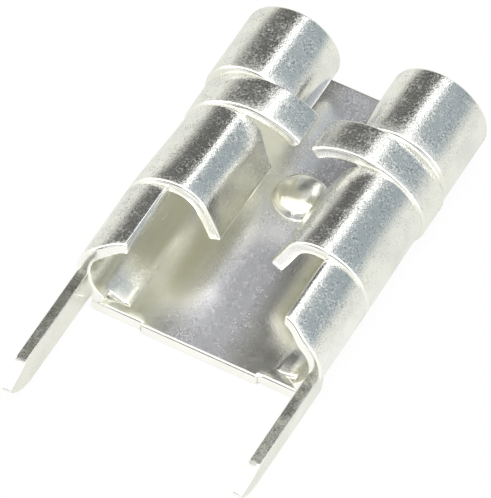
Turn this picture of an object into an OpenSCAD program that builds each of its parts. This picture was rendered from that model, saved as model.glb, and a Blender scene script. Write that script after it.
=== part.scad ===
// Female spade terminal for a printed circuit board.
// One strip of tinned brass sheet: a flat floor, two side walls rolled over towards the middle,
// a strap across the rolls that is left more open, and two pins that go through the board.
// X is the width, Y runs from the pins to the mouth, Z is up. The origin is the middle of the
// whole part's outline, on the underside of the floor.

/* [Sheet] */
// Thickness of the sheet
sheet_t = 0.4; // [0.3:0.02:0.5]

/* [Body] */
// Overall width across the two rolled sides
body_w = 7.7; // [7.3:0.1:8.6]
// Length of the rolled sides, from their pin end to their mouth end
side_l = 10; // [9:0.1:12]
// How far the floor reaches past the rolls at the mouth
mouth_lip_l = 0.36; // [0.3:0.02:0.8]
// Width of the floor where it reaches past the rolls
mouth_lip_w = 4.2; // [3:0.1:4.4]
// Corner cut on the floor at the mouth
mouth_lip_chamfer = 0.25; // [0.05:0.05:0.3]

/* [Side walls and rolls] */
// Bend radius from the floor up into the wall, at mid thickness
wall_bend_r = 1.4; // [1.2:0.05:1.6]
// Bend radius over the top of the roll at the mouth, at mid thickness
mouth_top_r = 1.4; // [1.2:0.05:1.6]
// Radius of the inner curl at the mouth, at mid thickness
mouth_curl_r = 1.2; // [1:0.05:1.4]
// How far the mouth curl turns past the top
mouth_curl_angle = 130; // [90:1:140]
// Bend radius over the top of the roll between the notch and the strap
rear_top_r = 1.45; // [1.2:0.05:1.6]
// Radius of that roll's inner shoulder
rear_curl_r = 0.85; // [0.6:0.05:1]
// How far the inner shoulder turns down
rear_curl_angle = 65; // [50:5:70]
// Straight flank from that shoulder down to the edge that presses on the spade
rear_flank_l = 1.1; // [0.6:0.05:1.3]

/* [Strap] */
// Distance from the pin end of the rolls to the strap
strap_y = 6.2; // [5.4:0.1:6.8]
// Width of the strap along the terminal
strap_l = 1.2; // [0.8:0.1:1.8]
// Bend radius from the floor into the strap's wall, at mid thickness
strap_wall_r = 1.15; // [0.9:0.05:1.3]
// Radius of the strap's shoulder
strap_shoulder_r = 1; // [0.7:0.05:1.3]
// How far the strap's shoulder turns
strap_shoulder_angle = 25; // [15:5:35]
// Radius of the wide arch of the strap
strap_arch_r = 2.08; // [1.9:0.02:2.14]
// How far the wide arch of the strap turns
strap_arch_angle = 107; // [90:1:108]

/* [Notch at the pin end] */
// Length of the open notch between the pin end and the rolls
notch_l = 2.75; // [2:0.05:3.6]
// Bend radius over the top of the wall beside the notch, lower than the rolls
notch_top_r = 1.22; // [1:0.02:1.3]
// How far the wall's top edge turns in beside the notch
notch_edge_angle = 88; // [60:1:89]

/* [Floor at the pin end] */
// Width of the floor's straight front edge, reaching under the pins
front_lip_w = 6.8; // [6:0.1:7]
// Length of that straight edge
front_lip_l = 0.35; // [0.2:0.05:0.5]
// Width of the stub left where the terminal was cut from its carrier strip
stub_w = 3.7; // [2:0.1:4.5]
// Length of that stub
stub_l = 0.1; // [0.04:0.02:0.3]
// Sideways offset of that stub
stub_x = 0.1; // [-0.3:0.05:0.3]

/* [Dimple] */
// Distance from the pin end to the middle of the dimple that locks the spade
dimple_y = 6.1; // [5.6:0.1:6.6]
// Diameter of the dimple at the floor
dimple_d = 1.6; // [1.3:0.05:1.7]
// Height of the dimple above the floor
dimple_h = 0.36; // [0.26:0.02:0.42]
// Radius of the dimple's rounded shoulder
dimple_shoulder_r = 0.24; // [0.1:0.02:0.26]
// Width of the hollow pressed into the underside
hollow_d = 1; // [0.6:0.05:1.1]

/* [Pins] */
// Length of each pin past the pin end of the walls
pin_l = 4.4; // [3:0.1:6]
// Height of the pin's blade
pin_w = 1; // [0.7:0.02:1.1]
// Thickness of the blade, pressed a little thinner than the sheet
pin_t = 0.34; // [0.24:0.02:0.38]
// Height of the blade's middle above the underside
pin_z = 1; // [0.96:0.02:1.2]
// How far the blade's middle stands inside the wall's middle
pin_in = 0.04; // [0:0.01:0.1]
// Outward lean of the blade
pin_lean = 5; // [0:1:10]
// Length of the tapered tip
tip_l = 0.82; // [0.4:0.02:1.4]
// Height of the blade at its tip
tip_w = 0.3; // [0.15:0.01:0.4]
// How far the tip lies below the blade's middle
tip_drop = 0.15; // [0:0.01:0.3]
// Thickness of the blade at its tip
tip_t = 0.2; // [0.1:0.01:0.25]

/* [Hidden] */
// Fine enough that every bend ends on one of the circle's own corners
$fn = 144;

half_t = sheet_t / 2;
// The wall's mid surface stands this far from the middle of the terminal.
wall_x = body_w / 2 - half_t;
floor_half = wall_x - wall_bend_r;
strap_floor_half = wall_x - strap_wall_r;
strap_end_y = strap_y + strap_l;
// Halfway between the pins' tips and the floor's end at the mouth
centre_y = (side_l + mouth_lip_l - pin_l) / 2;
// How far a pin's root runs into the wall
root_l = sheet_t;
// How far a straight stretch starts inside the bend before it, so that they join
lap = 0.004;
pie_step = 30;
quarter = 90;

// Straight stretch of the folded sheet, with what follows standing at its far end
module run(length) {
    translate([-lap, -half_t]) square([length + lap, sheet_t]);
    translate([length, 0]) children();
}

// Pie slice that is wider than any bend it cuts out
module pie(size, angle) {
    rim = [for (a = [0 : pie_step : angle]) size * [cos(a), sin(a)]];
    polygon(concat([[0, 0]], rim, [size * [cos(angle), sin(angle)]]));
}

// Bend of the sheet to the left, with what follows standing at its far end
module bend(radius, angle) {
    translate([0, radius]) rotate(-quarter) intersection() {
        difference() {
            circle(radius + half_t);
            circle(radius - half_t);
        }
        pie(2 * (radius + sheet_t), angle);
    }
    translate([0, radius]) rotate(angle) translate([0, -radius]) children();
}

// The folded sections, each from the middle of the floor out to the right and up
module notch_section() {
    run(floor_half) bend(wall_bend_r, quarter) bend(notch_top_r, notch_edge_angle);
}

module rear_section() {
    run(floor_half) bend(wall_bend_r, quarter) bend(rear_top_r, quarter)
        bend(rear_curl_r, rear_curl_angle) run(rear_flank_l);
}

module strap_section() {
    run(strap_floor_half) bend(strap_wall_r, quarter)
        bend(strap_shoulder_r, strap_shoulder_angle) bend(strap_arch_r, strap_arch_angle);
}

module mouth_section() {
    run(floor_half) bend(wall_bend_r, quarter) bend(mouth_top_r, quarter)
        bend(mouth_curl_r, mouth_curl_angle);
}

// A folded section drawn out along Y between two places
module draw_out(from, to) {
    translate([0, to, half_t]) rotate([quarter, 0, 0]) linear_extrude(to - from) children();
}

// Everything on the right is repeated on the left.
module both_sides() {
    children();
    mirror([1, 0, 0]) children();
}

// The bend is cut away below the pin's root, so that the floor ends in a straight edge there.
module root_relief() {
    translate([floor_half, -half_t, -half_t])
        cube([body_w / 2, front_lip_l + half_t, pin_z - pin_w / 2 + half_t]);
}

// One side of the sheet, from the pin end to the mouth
module side() {
    difference() {
        draw_out(0, notch_l) notch_section();
        root_relief();
    }
    draw_out(notch_l, strap_y) rear_section();
    draw_out(strap_y, strap_end_y) strap_section();
    draw_out(strap_end_y, side_l) mouth_section();
}

// The floor's ends: the lip at the mouth, and the straight edge and cut stub at the pins
module floor_ends() {
    lip_half = mouth_lip_w / 2;
    lip_end = side_l + mouth_lip_l;
    linear_extrude(sheet_t) polygon([
        [-lip_half, strap_end_y], [lip_half, strap_end_y],
        [lip_half, lip_end - mouth_lip_chamfer], [lip_half - mouth_lip_chamfer, lip_end],
        [mouth_lip_chamfer - lip_half, lip_end], [-lip_half, lip_end - mouth_lip_chamfer]
    ]);
    translate([-front_lip_w / 2, 0, 0]) cube([front_lip_w, front_lip_l, sheet_t]);
    translate([stub_x - stub_w / 2, -stub_l, 0]) cube([stub_w, stub_l + front_lip_l, sheet_t]);
}

// Half outline of the pressed dimple: a flat top with a round shoulder
module dimple_outline(base_r) {
    flat_r = base_r - dimple_shoulder_r;
    translate([0, -half_t]) square([flat_r, dimple_h + half_t]);
    translate([0, -half_t]) square([base_r, dimple_h + half_t - dimple_shoulder_r]);
    translate([flat_r, dimple_h - dimple_shoulder_r]) circle(dimple_shoulder_r);
}

module dimple() {
    translate([0, dimple_y, sheet_t]) rotate_extrude() dimple_outline(dimple_d / 2);
}

// The dimple is pressed up from below, so the underside is hollow there.
module dimple_hollow() {
    translate([0, dimple_y, -half_t]) cylinder(d = hollow_d, h = dimple_h + half_t);
}

// Blade of a pin lying along -Y, tapered at its tip in height and in thickness
module blade() {
    body_end = tip_l - pin_l;
    intersection() {
        rotate([quarter, 0, quarter]) linear_extrude(pin_t, center = true) polygon([
            [root_l, -pin_w / 2], [root_l, pin_w / 2], [body_end, pin_w / 2],
            [-pin_l, tip_w / 2 - tip_drop], [-pin_l, -tip_w / 2 - tip_drop], [body_end, -pin_w / 2]
        ]);
        linear_extrude(pin_w, center = true) polygon([
            [-pin_t / 2, root_l], [pin_t / 2, root_l], [pin_t / 2, body_end],
            [tip_t / 2, -pin_l], [-tip_t / 2, -pin_l], [-pin_t / 2, body_end]
        ]);
    }
}

module pin() {
    translate([wall_x - pin_in, 0, pin_z]) rotate([0, pin_lean, 0]) blade();
}

module terminal() {
    color([0.78, 0.78, 0.76]) translate([0, -centre_y, 0]) difference() {
        union() {
            both_sides() {
                side();
                pin();
            }
            floor_ends();
            dimple();
        }
        dimple_hollow();
    }
}

terminal();
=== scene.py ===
import math

import bmesh
import bpy
from mathutils import Matrix, Vector


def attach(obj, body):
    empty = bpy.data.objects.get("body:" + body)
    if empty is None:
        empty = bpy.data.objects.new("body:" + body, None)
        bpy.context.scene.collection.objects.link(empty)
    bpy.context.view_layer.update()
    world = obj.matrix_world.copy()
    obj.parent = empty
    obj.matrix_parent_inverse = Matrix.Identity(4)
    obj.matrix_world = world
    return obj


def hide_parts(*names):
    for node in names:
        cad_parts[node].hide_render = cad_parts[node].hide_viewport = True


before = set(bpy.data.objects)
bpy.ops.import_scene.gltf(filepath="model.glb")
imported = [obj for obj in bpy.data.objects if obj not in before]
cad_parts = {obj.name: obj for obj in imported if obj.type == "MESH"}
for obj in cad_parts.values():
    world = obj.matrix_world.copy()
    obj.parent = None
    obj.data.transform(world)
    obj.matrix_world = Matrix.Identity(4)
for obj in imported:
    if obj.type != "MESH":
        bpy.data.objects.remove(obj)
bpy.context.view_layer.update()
scene = bpy.context.scene
MM = 0.001
WHITE = (1.0, 1.0, 1.0, 1)


def aim_camera():
    """Stands the camera where the photograph was taken from."""
    az, el, roll = (math.radians(a) for a in (26.4, 52.0, 2.6))
    right = Vector((math.cos(az), math.sin(az), 0))
    back = Vector((math.sin(az) * math.cos(el), -math.cos(az) * math.cos(el), math.sin(el)))
    up = back.cross(right)
    side = math.cos(roll) * right + math.sin(roll) * up
    top = -math.sin(roll) * right + math.cos(roll) * up
    pixels_per_mm = 35.7
    picture_height = 498
    distance = 245.0
    # A place in the part, and how far to the left of it and below it the picture's middle lies
    known_place = Vector((0, 2.02, 1.5))
    left, below = 38.0 / pixels_per_mm, 48.8 / pixels_per_mm
    aim = known_place - left * side - below * top
    cam = bpy.data.cameras.new("camera")
    cam.sensor_width = 36.0
    cam.lens = pixels_per_mm * distance * cam.sensor_width / picture_height
    cam.clip_start = 0.01
    cam.clip_end = 10.0
    obj = bpy.data.objects.new("camera", cam)
    scene.collection.objects.link(obj)
    turn = Matrix((side, top, back)).transposed().to_4x4()
    obj.matrix_world = Matrix.Translation((aim + distance * back) * MM) @ turn
    scene.camera = obj


def new_material(name):
    mat = bpy.data.materials.new(name)
    mat.use_nodes = True
    tree = mat.node_tree
    tree.nodes.clear()
    out = tree.nodes.new("ShaderNodeOutputMaterial")
    return mat, tree, out


def add(tree, kind, **values):
    """A node with its unlinked inputs set by name."""
    node = tree.nodes.new(kind)
    for key, value in values.items():
        node.inputs[key].default_value = value
    return node


def noise(tree, vector, size_mm, detail=3.0, roughness=0.55, stretch=None):
    """Fractal noise with grains of about size_mm; stretch lengthens them along an axis."""
    if stretch:
        m = tree.nodes.new("ShaderNodeMapping")
        m.inputs["Scale"].default_value = stretch
        tree.links.new(vector, m.inputs["Vector"])
        vector = m.outputs["Vector"]
    n = tree.nodes.new("ShaderNodeTexNoise")
    n.inputs["Scale"].default_value = 1.0 / (size_mm * MM)
    n.inputs["Detail"].default_value = detail
    n.inputs["Roughness"].default_value = roughness
    tree.links.new(vector, n.inputs["Vector"])
    return n.outputs["Fac"]


def spread(tree, value, low, high, to_low, to_high):
    """Maps low to high onto to_low to to_high, and stays at those outside."""
    r = tree.nodes.new("ShaderNodeMapRange")
    for name, number in (("From Min", low), ("From Max", high), ("To Min", to_low), ("To Max", to_high)):
        r.inputs[name].default_value = number
    tree.links.new(value, r.inputs["Value"])
    return r.outputs["Result"]


def math_node(tree, operation, a, b):
    m = tree.nodes.new("ShaderNodeMath")
    m.operation = operation
    for socket, value in zip(m.inputs, (a, b)):
        if isinstance(value, (int, float)):
            socket.default_value = value
        else:
            tree.links.new(value, socket)
    return m.outputs[0]


def times(tree, a, b):
    return math_node(tree, "MULTIPLY", a, b)


def plus(tree, a, b):
    return math_node(tree, "ADD", a, b)


def mix_colour(tree, factor, a, b):
    m = tree.nodes.new("ShaderNodeMix")
    m.data_type = "RGBA"
    tree.links.new(factor, m.inputs["Factor"])
    for socket, value in ((m.inputs[6], a), (m.inputs[7], b)):
        if isinstance(value, tuple):
            socket.default_value = value
        else:
            tree.links.new(value, socket)
    return m.outputs[2]


# Each coat of tin: its light and its worn colour, its lowest and highest roughness, the strength of its bump,
# how dark its pits are, how dull its flecks are, and how metallic it is
TIN_COATS = {
    "face": ((0.965, 0.96, 0.93, 1), (0.86, 0.86, 0.84, 1), 0.13, 0.22, 0.50, 0.68, 0.24, 1.0),
    "edge": ((0.98, 0.975, 0.945, 1), (0.95, 0.945, 0.90, 1), 0.18, 0.30, 0.20, 0.10, 0.0, 1.0),
    "inside": ((0.96, 0.955, 0.90, 1), (0.91, 0.905, 0.85, 1), 0.15, 0.26, 0.25, 0.10, 0.04, 1.0),
    # The floor's bluish grey colours are painted reflection of the studio's pale blue.
    "floor": ((0.86, 0.86, 0.91, 1), (0.76, 0.76, 0.81, 1), 0.15, 0.24, 0.35, 0.62, 0.14, 0.70),
    # The blade's sides are greyer than the rest of the tin: painted shade along the pins' sides.
    "blade": ((0.80, 0.80, 0.735, 1), (0.75, 0.75, 0.69, 1), 0.22, 0.34, 0.3, 0.10, 0.05, 1.0),
    # The sheared cut face on top of each pin's root: its dark colours are painted shade, dark under any
    # light, for the dark stripe it mirrors.
    "sheared_shaded": ((0.46, 0.46, 0.41, 1), (0.15, 0.15, 0.13, 1), 0.30, 0.46, 0.6, 0.60, 0.2, 1.0),
}
PIT_COLOUR = (0.38, 0.38, 0.37, 1)
# Olive-cream of the floor near the walls and on the dimple: painted reflection of the walls, and painted
# highlight on the dimple.
SMOOTH_FLOOR_PAINTED_REFLECTION = (0.94, 0.935, 0.86, 1)
SMOOTH_FLOOR_METAL = 0.97
BUMP_HEIGHT = 0.012 * MM


def open_tinted_strip(tree, where):
    """1 in the floor's middle strip, open to the studio, and 0 near the walls and on the dimple; it places
    the floor's painted reflections as well as its pits.
    """
    place = tree.nodes.new("ShaderNodeSeparateXYZ")
    tree.links.new(where, place.inputs[0])
    off_x = place.outputs["X"]
    off_y = math_node(tree, "SUBTRACT", place.outputs["Y"], (DIMPLE_Y - CENTRE_Y) * MM)
    strip = spread(tree, math_node(tree, "ABSOLUTE", off_x, 0.0), 0.5 * MM, 1.5 * MM, 1.0, 0.0)
    square = plus(tree, math_node(tree, "POWER", off_x, 2.0), math_node(tree, "POWER", off_y, 2.0))
    return times(tree, strip, spread(tree, square, (0.7 * MM) ** 2, (1.0 * MM) ** 2, 0.0, 1.0))


def tin(kind):
    """Bright tin plating, with fine grains, pits and drawing lines."""
    light, worn, rough_low, rough_high, strength, pitted, flecked, metal = TIN_COATS[kind]
    mat, tree, out = new_material("tin_" + kind)
    where = tree.nodes.new("ShaderNodeTexCoord").outputs["Object"]
    patches = noise(tree, where, 0.9, 2.0)
    waves = noise(tree, where, 2.2, 1.0)
    grains = noise(tree, where, 0.055, 2.0, 0.6)
    fine = noise(tree, where, 0.05, 0.0)
    flecks = noise(tree, where, 0.07, 2.0, 0.7)
    clusters = noise(tree, where, 0.32, 1.0)
    lines = noise(tree, where, 0.05, 2.0, 0.5, stretch=(1.0, 0.07, 1.0))

    shader = tree.nodes.new("ShaderNodeBsdfPrincipled")
    shader.inputs["Metallic"].default_value = metal
    tree.links.new(shader.outputs[0], out.inputs["Surface"])

    # The grain, pits and flecks show on what faces up, and fade out on the steep walls.
    facing = tree.nodes.new("ShaderNodeSeparateXYZ")
    tree.links.new(tree.nodes.new("ShaderNodeNewGeometry").outputs["Normal"], facing.inputs[0])
    grainy = spread(tree, math_node(tree, "ABSOLUTE", facing.outputs["Z"], 0.0), 0.30, 0.75, 0.05, 1.0)
    mottle = plus(tree, times(tree, grains, 0.4), times(tree, patches, 0.6))
    colour = mix_colour(tree, spread(tree, mottle, 0.40, 0.56, 0.0, 1.0), worn, light)
    pit = times(tree, spread(tree, fine, 0.54, 0.66, 0.0, pitted), grainy)
    pit = times(tree, pit, spread(tree, clusters, 0.40, 0.60, 0.25, 1.0))
    if kind == "floor":
        # Towards the walls and on the dimple the floor is as smooth as they are, and olive-cream: painted
        # reflection of the walls, and on the dimple painted highlight. In the open strip its bluish grey
        # colour is painted reflection of the studio.
        strip = open_tinted_strip(tree, where)
        colour = mix_colour(tree, strip, SMOOTH_FLOOR_PAINTED_REFLECTION, colour)
        pit = times(tree, pit, strip)
        how_metallic = spread(tree, strip, 0.0, 1.0, SMOOTH_FLOOR_METAL, metal)
        tree.links.new(how_metallic, shader.inputs["Metallic"])
    colour = mix_colour(tree, pit, colour, PIT_COLOUR)
    tree.links.new(colour, shader.inputs["Base Color"])

    # Dull flecks mirror all that is round them: they are light on dark stripes, and dark on light ones.
    fleck = times(tree, spread(tree, flecks, 0.44, 0.62, 0.0, flecked), grainy)
    fleck = times(tree, fleck, spread(tree, clusters, 0.36, 0.60, 0.35, 1.0))
    if kind == "floor":
        fleck = times(tree, fleck, strip)
    rough = plus(tree, spread(tree, mottle, 0.38, 0.62, rough_high, rough_low), fleck)
    tree.links.new(rough, shader.inputs["Roughness"])

    height = plus(tree, times(tree, grains, grainy), times(tree, lines, 0.2))
    height = plus(tree, height, times(tree, waves, 2.5))
    bump = tree.nodes.new("ShaderNodeBump")
    bump.inputs["Strength"].default_value = strength
    bump.inputs["Distance"].default_value = BUMP_HEIGHT
    tree.links.new(height, bump.inputs["Height"])
    tree.links.new(bump.outputs[0], shader.inputs["Normal"])
    return mat


def ease(value, low, high):
    """0 below low, 1 above high, and smooth between them."""
    t = min(1.0, max(0.0, (value - low) / (high - low)))
    return t * t * (3 - 2 * t)


# Sizes in millimetres, with Y counted from the pin end of the walls
SHEET = 0.398
HALF = 0.2
# The part's middle, which is the origin of the frame
CENTRE_Y = 2.98
FLOOR_HALF = 2.25
# Each bend of the sheet is its radius at mid thickness, and its degrees.
WALL_BEND = (1.4, 90)
NOTCH_TURNS = (WALL_BEND, (1.22, 88))
ROLL_TURNS = (WALL_BEND, (1.45, 90), (0.85, 65))
STRAP_TURNS = ((1.15, 90), (1.0, 25), (2.08, 107))
MOUTH_TURNS = (WALL_BEND, (1.4, 90), (1.2, 130))
DEGREES_PER_STEP = 6
FLANK, FLANK_STEPS = 1.1, 4
STRAP_FLAT = 0.25
NOTCH_Y, STRAP_Y, MOUTH_Y, SIDE_L = 2.75, 6.2, 7.4, 10.0
# Rounded corners of the notch's wall and of the roll, and the roll's fall towards the strap
NOTCH_CORNER = 0.34
ROLL_CORNER = 0.32
ROLL_FALL, ROLL_INWARD = 0.34, 0.08
# Below the pin's root the bend is cut away, over its first steps.
RELIEF_Y = 0.35
RELIEF_STEPS = 6
FRONT_HALF = 3.4
STUB_LEFT, STUB_RIGHT, STUB_Y = -1.75, 1.95, -0.1
LIP_HALF, LIP_CORNER_X, LIP_CORNER_Y, LIP_END = 2.1, 1.85, 10.11, 10.36
DIMPLE_Y = 6.1
DIMPLE_R, DIMPLE_H, DIMPLE_FULLNESS = 0.81, 0.36, 0.9
HOLLOW_R, HOLLOW_H = 0.5, 0.34
# The dimple's rings end at this radius, inside a square gap in the floor's cells of this half width.
DIMPLE_REACH = 0.9
DIMPLE_GAP = 0.95
PIN_X, PIN_Z, PIN_LEAN = 3.61, 1.0, 5
ROWS = (
    0, RELIEF_Y, 1.15, 1.95, NOTCH_Y, 3.35, 3.95, 4.55, 5.15, 5.65, 5.85, 6.0, 6.1, STRAP_Y, 6.6, 7.05,
    MOUTH_Y, 8.05, 8.7, 9.35, SIDE_L,
)
COATS = ("face", "edge", "floor", "inside", "sheared_shaded", "blade")
FACE, EDGE, FLOOR, INSIDE, SHEARED_SHADED, BLADE = range(len(COATS))
# The thickening leaves the sheet's inside at its slot, and adds these to it for the rim and for the outside.
TO_RIM, TO_OUTSIDE, SLOTS = 1, 5, 8
COAT_OF_SLOT = {0: INSIDE, 1: EDGE, 2: FLOOR, 3: EDGE, 5: FACE, 6: EDGE, 7: FACE}
# Along each pin: Y, half its thickness, and its lower and upper edge above the blade's middle
PIN_RINGS = (
    (0.4, 0.17, -0.5, 0.5), (-3.42, 0.17, -0.48, 0.5), (-3.75, 0.17, -0.40, 0.39),
    (-4.05, 0.165, -0.26, 0.29), (-4.28, 0.155, -0.09, 0.21), (-4.4, 0.14, 0.05, 0.16),
)
DIMPLE_RINGS = (0.88, 0.83, 0.81, 0.80, 0.785, 0.765, 0.73, 0.68, 0.62, 0.56, 0.52, 0.48, 0.30)


def fold(turns, flank=0.0, flat=0.0):
    """Middle line of one folded side as (x, z), from the end of the flat floor to the free edge."""
    x, z, heading = FLOOR_HALF, HALF, 0.0
    line = [(x, z)]
    if flat:
        x += flat
        line.append((x, z))
    for radius, degrees in turns:
        count = round(degrees / DEGREES_PER_STEP)
        cx, cz = x - radius * math.sin(heading), z + radius * math.cos(heading)
        for i in range(1, count + 1):
            a = heading + math.radians(degrees) * i / count
            x, z = cx + radius * math.sin(a), cz - radius * math.cos(a)
            line.append((x, z))
        heading = a
    if flank:
        for i in range(1, FLANK_STEPS + 1):
            far = flank * i / FLANK_STEPS
            line.append((x + far * math.cos(heading), z + far * math.sin(heading)))
    return line


def notch_row(y):
    """The low wall; its front corner is rounded off."""
    line = fold(NOTCH_TURNS)
    back = NOTCH_CORNER * ease(1.2 - y, 0.0, 1.2)
    last = len(line) - 1
    return [(x, y + back * ease(i / last, 0.76, 1.0), z) for i, (x, z) in enumerate(line)]


def roll_row(y):
    """The roll falls towards the strap, and its far corner is rounded off."""
    line = fold(ROLL_TURNS, flank=FLANK)
    sunk = ease(y, NOTCH_Y - 0.5, STRAP_Y + 0.3)
    last = len(line) - 1
    row = []
    for i, (x, z) in enumerate(line):
        drop = ROLL_FALL * sunk * ease(z, 0.8, 2.4)
        inward = ROLL_INWARD * sunk * ease(x, 2.4, 3.5) * ease(z, 0.5, 1.6)
        back = ROLL_CORNER * ease(y, 5.6, STRAP_Y) * ease(i / last, 0.86, 1.0)
        row.append((x - inward, y - back, z - drop))
    return row


def strap_row(y):
    """The strap, bent less than the rolls and lower."""
    return [(x, y, z) for x, z in fold(STRAP_TURNS, flat=STRAP_FLAT)]


def mouth_row(y):
    """The closed curl at the mouth."""
    return [(x, y, z) for x, z in fold(MOUTH_TURNS)]


def lay_strip(shape, low, high, row):
    """One folded stretch between two places along Y, on both sides."""
    ys = [y for y in ROWS if low <= y <= high]
    for side in (1, -1):
        rows = [[shape.verts.new((side * x, y, z)) for x, y, z in row(place)] for place in ys]
        for j in range(len(rows) - 1):
            first = RELIEF_STEPS if ys[j] < RELIEF_Y else 0
            for i in range(first, len(rows[j]) - 1):
                quad = [rows[j][i], rows[j][i + 1], rows[j + 1][i + 1], rows[j + 1][i]]
                shape.faces.new(quad if side > 0 else reversed(quad))


def lay_sheet_floor(shape):
    """The flat floor with its lips and stub, and round rings where the dimple is pressed."""
    half_gap = DIMPLE_GAP / 2
    xs = (
        -FRONT_HALF, -FLOOR_HALF, -LIP_HALF, -LIP_CORNER_X, STUB_LEFT, -DIMPLE_GAP, -half_gap, 0,
        half_gap, DIMPLE_GAP, LIP_CORNER_X, STUB_RIGHT, LIP_HALF, FLOOR_HALF, FRONT_HALF,
    )
    ys = (STUB_Y,) + ROWS + (LIP_CORNER_Y, LIP_END)
    for x0, x1 in zip(xs, xs[1:]):
        for y0, y1 in zip(ys, ys[1:]):
            x, y = (x0 + x1) / 2, (y0 + y1) / 2
            if y < 0:
                keep = STUB_LEFT < x < STUB_RIGHT
            elif y < RELIEF_Y:
                keep = True
            elif y < SIDE_L:
                keep = abs(x) < FLOOR_HALF
            else:
                keep = abs(x) < LIP_HALF
            if not keep or (abs(x) < DIMPLE_GAP and abs(y - DIMPLE_Y) < DIMPLE_GAP):
                continue
            corners = [(x0, y0), (x1, y0), (x1, y1), (x0, y1)]
            if y > LIP_CORNER_Y and abs(x) > LIP_CORNER_X:
                corners.remove((x0, y1) if x < 0 else (x1, y1))
            face = shape.faces.new([shape.verts.new((a, b, HALF)) for a, b in corners])
            face.material_index = FLOOR
    count = 56
    rings = []
    for r in DIMPLE_RINGS:
        angles = [2 * math.pi * i / count for i in range(count)]
        rings.append([shape.verts.new((r * math.cos(a), DIMPLE_Y + r * math.sin(a), HALF)) for a in angles])
    for outer, inner in zip(rings, rings[1:]):
        for i in range(count):
            k = (i + 1) % count
            shape.faces.new((outer[i], outer[k], inner[k], inner[i])).material_index = FLOOR
    shape.faces.new(rings[-1]).material_index = FLOOR
    bmesh.ops.remove_doubles(shape, verts=shape.verts, dist=0.0005)
    near = DIMPLE_GAP + 0.01
    rim = [e for e in shape.edges if e.is_boundary and all(
        abs(v.co.x) < near and abs(v.co.y - DIMPLE_Y) < near and abs(v.co.z - HALF) < 0.01 for v in e.verts)]
    filled = bmesh.ops.triangle_fill(shape, use_beauty=True, use_dissolve=False, edges=rim, normal=(0, 0, 1))
    for item in filled["geom"]:
        if isinstance(item, bmesh.types.BMFace):
            item.material_index = FLOOR


def dimple_height(r):
    """Height of the pressed dimple above the floor at a distance from its middle."""
    return DIMPLE_H * math.sqrt(max(0.0, 1 - (r / DIMPLE_R) ** 2)) ** DIMPLE_FULLNESS


def press_dimple(mesh):
    """Raises the floor's top into the dimple, and its underside into the hollow."""
    for v in mesh.vertices:
        r = math.hypot(v.co.x, v.co.y - DIMPLE_Y)
        if r > DIMPLE_REACH or v.co.z > 0.5:
            continue
        if v.co.z > HALF:
            v.co.z += dimple_height(r)
        elif r < HOLLOW_R:
            v.co.z += HOLLOW_H


def lay_pin(shape, side):
    """A flat blade out of the wall, leaning outwards, with a tip tapered in height and thickness."""
    lean = math.radians(PIN_LEAN)
    rings = []
    for y, half_x, low, high in PIN_RINGS:
        ring = []
        for u, w in ((-half_x, low), (half_x, low), (half_x, high), (-half_x, high)):
            x = PIN_X + u * math.cos(lean) + w * math.sin(lean)
            z = PIN_Z - u * math.sin(lean) + w * math.cos(lean)
            ring.append(shape.verts.new((side * x, y, z)))
        rings.append(ring)
    for place, (a, b) in enumerate(zip(rings, rings[1:])):
        for i in range(4):
            k = (i + 1) % 4
            face = shape.faces.new((a[i], a[k], b[k], b[i]))
            if i == 2:
                # The sheared top face at the pin's root takes the painted shade coat.
                face.material_index = SHEARED_SHADED if place == 0 else EDGE
            elif i != 0:
                # The sides are greyer than the tin as painted shade.
                face.material_index = BLADE
    shape.faces.new(rings[0])
    shape.faces.new(rings[-1])


def weigh_edges(shape, least, of_pins):
    """Marks edges sharper than least degrees for the bevel, none at the dimple, and the pins' by of_pins."""
    layers, name = shape.edges.layers.float, "bevel_weight_edge"
    layer = layers.get(name) or layers.new(name)
    for e in shape.edges:
        far = all(math.hypot(v.co.x, v.co.y - DIMPLE_Y) > DIMPLE_REACH or v.co.z > 1.2 for v in e.verts)
        if far and len(e.link_faces) == 2 and e.calc_face_angle(0.0) > math.radians(least):
            e[layer] = of_pins if min(v.co.y for v in e.verts) < -0.3 else 1.0


def fold_sheet():
    """The whole sheet as one mesh in millimetres from the pin end."""
    shape = bmesh.new()
    lay_strip(shape, 0, NOTCH_Y, notch_row)
    lay_strip(shape, NOTCH_Y, STRAP_Y, roll_row)
    lay_strip(shape, STRAP_Y, MOUTH_Y, strap_row)
    lay_strip(shape, MOUTH_Y, SIDE_L, mouth_row)
    lay_sheet_floor(shape)
    loose = [v for v in shape.verts if not v.link_faces]
    bmesh.ops.delete(shape, geom=loose, context="VERTS")
    middle = bpy.data.meshes.new("sheet_middle")
    shape.to_mesh(middle)
    shape.free()
    for _ in range(SLOTS):
        middle.materials.append(None)
    holder = bpy.data.objects.new("sheet_middle", middle)
    scene.collection.objects.link(holder)
    thick = holder.modifiers.new("thickness", "SOLIDIFY")
    thick.thickness = SHEET
    thick.offset = 0
    thick.use_even_offset = True
    thick.use_quality_normals = True
    thick.material_offset_rim = TO_RIM
    thick.material_offset = TO_OUTSIDE
    solid = bpy.data.meshes.new_from_object(holder.evaluated_get(bpy.context.evaluated_depsgraph_get()))
    bpy.data.objects.remove(holder)
    press_dimple(solid)
    shape = bmesh.new()
    shape.from_mesh(solid)
    for f in shape.faces:
        f.material_index = COAT_OF_SLOT[f.material_index]
    lay_pin(shape, 1)
    lay_pin(shape, -1)
    bmesh.ops.recalc_face_normals(shape, faces=shape.faces)
    weigh_edges(shape, least=24, of_pins=0.35)
    for v in shape.verts:
        v.co = Vector((v.co.x, v.co.y - CENTRE_Y, v.co.z)) * MM
    for f in shape.faces:
        f.smooth = True
    shape.to_mesh(solid)
    shape.free()
    solid.name = "terminal_sheet"
    return solid


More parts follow.
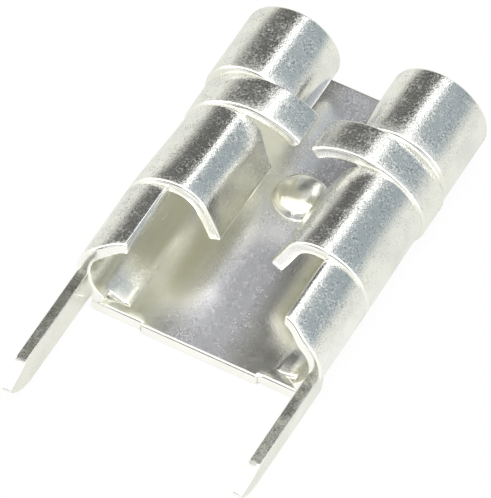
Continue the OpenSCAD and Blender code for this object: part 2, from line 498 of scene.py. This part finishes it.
def dress_terminal():
    """The folded sheet with thick rounded edges, in tin."""
    mesh = fold_sheet()
    piece = bpy.data.objects.new("terminal_sheet", mesh)
    scene.collection.objects.link(piece)
    while len(mesh.materials) > len(COATS):
        mesh.materials.pop()
    for place, kind in enumerate(COATS):
        mesh.materials[place] = tin(kind)
    bevel = piece.modifiers.new("worn_edges", "BEVEL")
    bevel.width = 0.075 * MM
    bevel.segments = 3
    bevel.limit_method = "WEIGHT"
    bevel.material = EDGE
    bevel.use_clamp_overlap = False
    normals = piece.modifiers.new("even_normals", "WEIGHTED_NORMAL")
    normals.keep_sharp = False
    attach(piece, "root")
    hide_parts("terminal")


def lay_floor():
    """White table with a soft shadow; the metal mirrors it white near the pins, greyer at the mouth."""
    mesh = bpy.data.meshes.new("floor")
    far = 0.5
    mesh.from_pydata([(-far, -far, 0), (far, -far, 0), (far, far, 0), (-far, far, 0)], [], [(0, 1, 2, 3)])
    obj = bpy.data.objects.new("floor", mesh)
    scene.collection.objects.link(obj)
    # Just below the part, so that no two faces lie in one plane
    obj.location.z = -0.02 * MM
    mat, tree, out = new_material("floor_white")
    rays = tree.nodes.new("ShaderNodeLightPath")
    seen = math_node(tree, "MAXIMUM", rays.outputs["Is Camera Ray"], rays.outputs["Is Glossy Ray"])
    white = add(tree, "ShaderNodeEmission", Strength=1.0)
    place = tree.nodes.new("ShaderNodeSeparateXYZ")
    tree.links.new(tree.nodes.new("ShaderNodeTexCoord").outputs["Object"], place.inputs[0])
    near = spread(tree, place.outputs["Y"], -3.5 * MM, 2.5 * MM, 1.0, 0.0)
    grey_at_mouth, white_at_pins = (0.82, 0.83, 0.77, 1), (1.0, 1.0, 0.97, 1)
    mirrored = mix_colour(tree, near, grey_at_mouth, white_at_pins)
    tone = mix_colour(tree, rays.outputs["Is Camera Ray"], mirrored, WHITE)
    tree.links.new(tone, white.inputs["Color"])
    matt = add(tree, "ShaderNodeBsdfDiffuse", Color=(0.9, 0.9, 0.89, 1))
    mix = tree.nodes.new("ShaderNodeMixShader")
    glow = 0.93
    tree.links.new(times(tree, seen, glow), mix.inputs["Fac"])
    tree.links.new(matt.outputs[0], mix.inputs[1])
    tree.links.new(white.outputs[0], mix.inputs[2])
    tree.links.new(mix.outputs[0], out.inputs["Surface"])
    mesh.materials.append(mat)


def hang_studio():
    """Soft studio round the part: white low down, a dark side, a bright strip above, pale blue beyond it."""
    world = bpy.data.worlds.new("studio")
    scene.world = world
    world.use_nodes = True
    tree = world.node_tree
    tree.nodes.clear()
    out = tree.nodes.new("ShaderNodeOutputWorld")
    where = tree.nodes.new("ShaderNodeTexCoord").outputs["Generated"]
    axes = tree.nodes.new("ShaderNodeSeparateXYZ")
    tree.links.new(where, axes.inputs[0])
    angle = math_node(tree, "ARCTAN2", axes.outputs["X"], axes.outputs["Z"])
    along = plus(tree, math_node(tree, "DIVIDE", angle, 2 * math.pi), 0.5)
    ramp = tree.nodes.new("ShaderNodeValToRGB")
    tree.links.new(along, ramp.inputs[0])
    # Degrees round the Y axis from straight up, positive towards +X, and the colour there
    stops = [
        (-180, (0.92, 0.92, 0.87)), (-84, (0.88, 0.88, 0.82)), (-64, (0.14, 0.14, 0.13)),
        (-12, (0.11, 0.11, 0.11)), (-6, (0.40, 0.40, 0.42)), (-3, (3.0, 3.0, 2.9)),
        (1, (3.0, 3.0, 2.9)), (6, (0.40, 0.45, 0.47)), (15, (0.37, 0.42, 0.445)),
        (68, (0.34, 0.40, 0.435)), (92, (0.86, 0.87, 0.80)), (180, (0.86, 0.87, 0.81)),
    ]
    marks = ramp.color_ramp.elements
    while len(marks) < len(stops):
        marks.new(0.5)
    # All places are set before any colour, because a mark that moves past another swaps with it.
    for mark, (degrees, _) in zip(marks, stops):
        mark.position = degrees / 360 + 0.5
    for mark, (_, colour) in zip(marks, stops):
        mark.color = (*colour, 1)
    # Straight above all is white; the stripes are seen further along Y, both ways.
    ends_ahead = spread(tree, axes.outputs["Y"], 0.16, 0.42, 1.0, 0.0)
    ends_behind = spread(tree, axes.outputs["Y"], -0.66, -0.58, 0.0, 1.0)
    overhead = times(tree, ends_ahead, ends_behind)
    bright = (1.5, 1.5, 1.45, 1)
    round_it = mix_colour(tree, overhead, ramp.outputs["Color"], bright)
    rays = tree.nodes.new("ShaderNodeLightPath")
    colour = mix_colour(tree, rays.outputs["Is Camera Ray"], round_it, WHITE)
    back = tree.nodes.new("ShaderNodeBackground")
    tree.links.new(colour, back.inputs["Color"])
    tree.links.new(back.outputs[0], out.inputs["Surface"])

    lamp = bpy.data.lights.new("overhead", "AREA")
    lamp.shape = "DISK"
    lamp.size = 0.16
    lamp.energy = 0.3
    obj = bpy.data.objects.new("overhead", lamp)
    scene.collection.objects.link(obj)
    at = Vector((0.07, -0.06, 0.30))
    obj.location = at
    obj.rotation_euler = at.to_track_quat("Z", "Y").to_euler()


aim_camera()
dress_terminal()
lay_floor()
hang_studio()

scene.view_settings.view_transform = "Standard"
scene.cycles.max_bounces = 12
scene.cycles.glossy_bounces = 10
